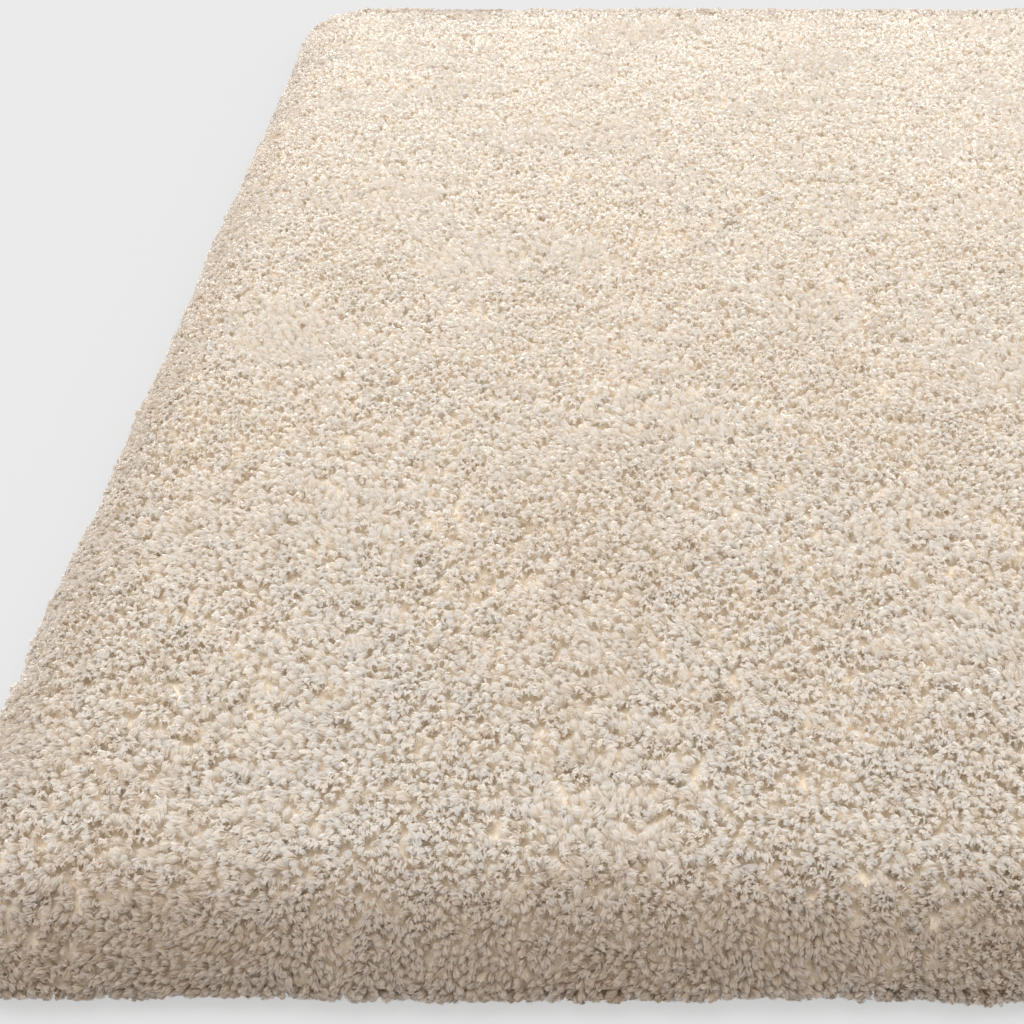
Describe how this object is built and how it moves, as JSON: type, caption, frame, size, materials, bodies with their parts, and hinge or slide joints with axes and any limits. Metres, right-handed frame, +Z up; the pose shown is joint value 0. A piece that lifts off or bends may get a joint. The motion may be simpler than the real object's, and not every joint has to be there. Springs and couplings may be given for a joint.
{
  "type": "shag rug",
  "caption": "Rectangular shag rug with rounded corners: a thick, soft floor covering of long cream and beige yarn that lies flat on the floor.",
  "frame": {"origin": "on the floor under the middle of the rug", "axes": "+Y along the rug's length, from the near end to the far end; +X across its width; +Z up, through the pile"},
  "size_m": [1.2056, 1.703, 0.05],
  "materials": {
    "pile": "long matt cream and beige yarn with a soft sheen, mixed in tone from tuft to tuft"
  },
  "bodies": {
    "root": {"rug": "pile"}
  },
  "joints": []
}
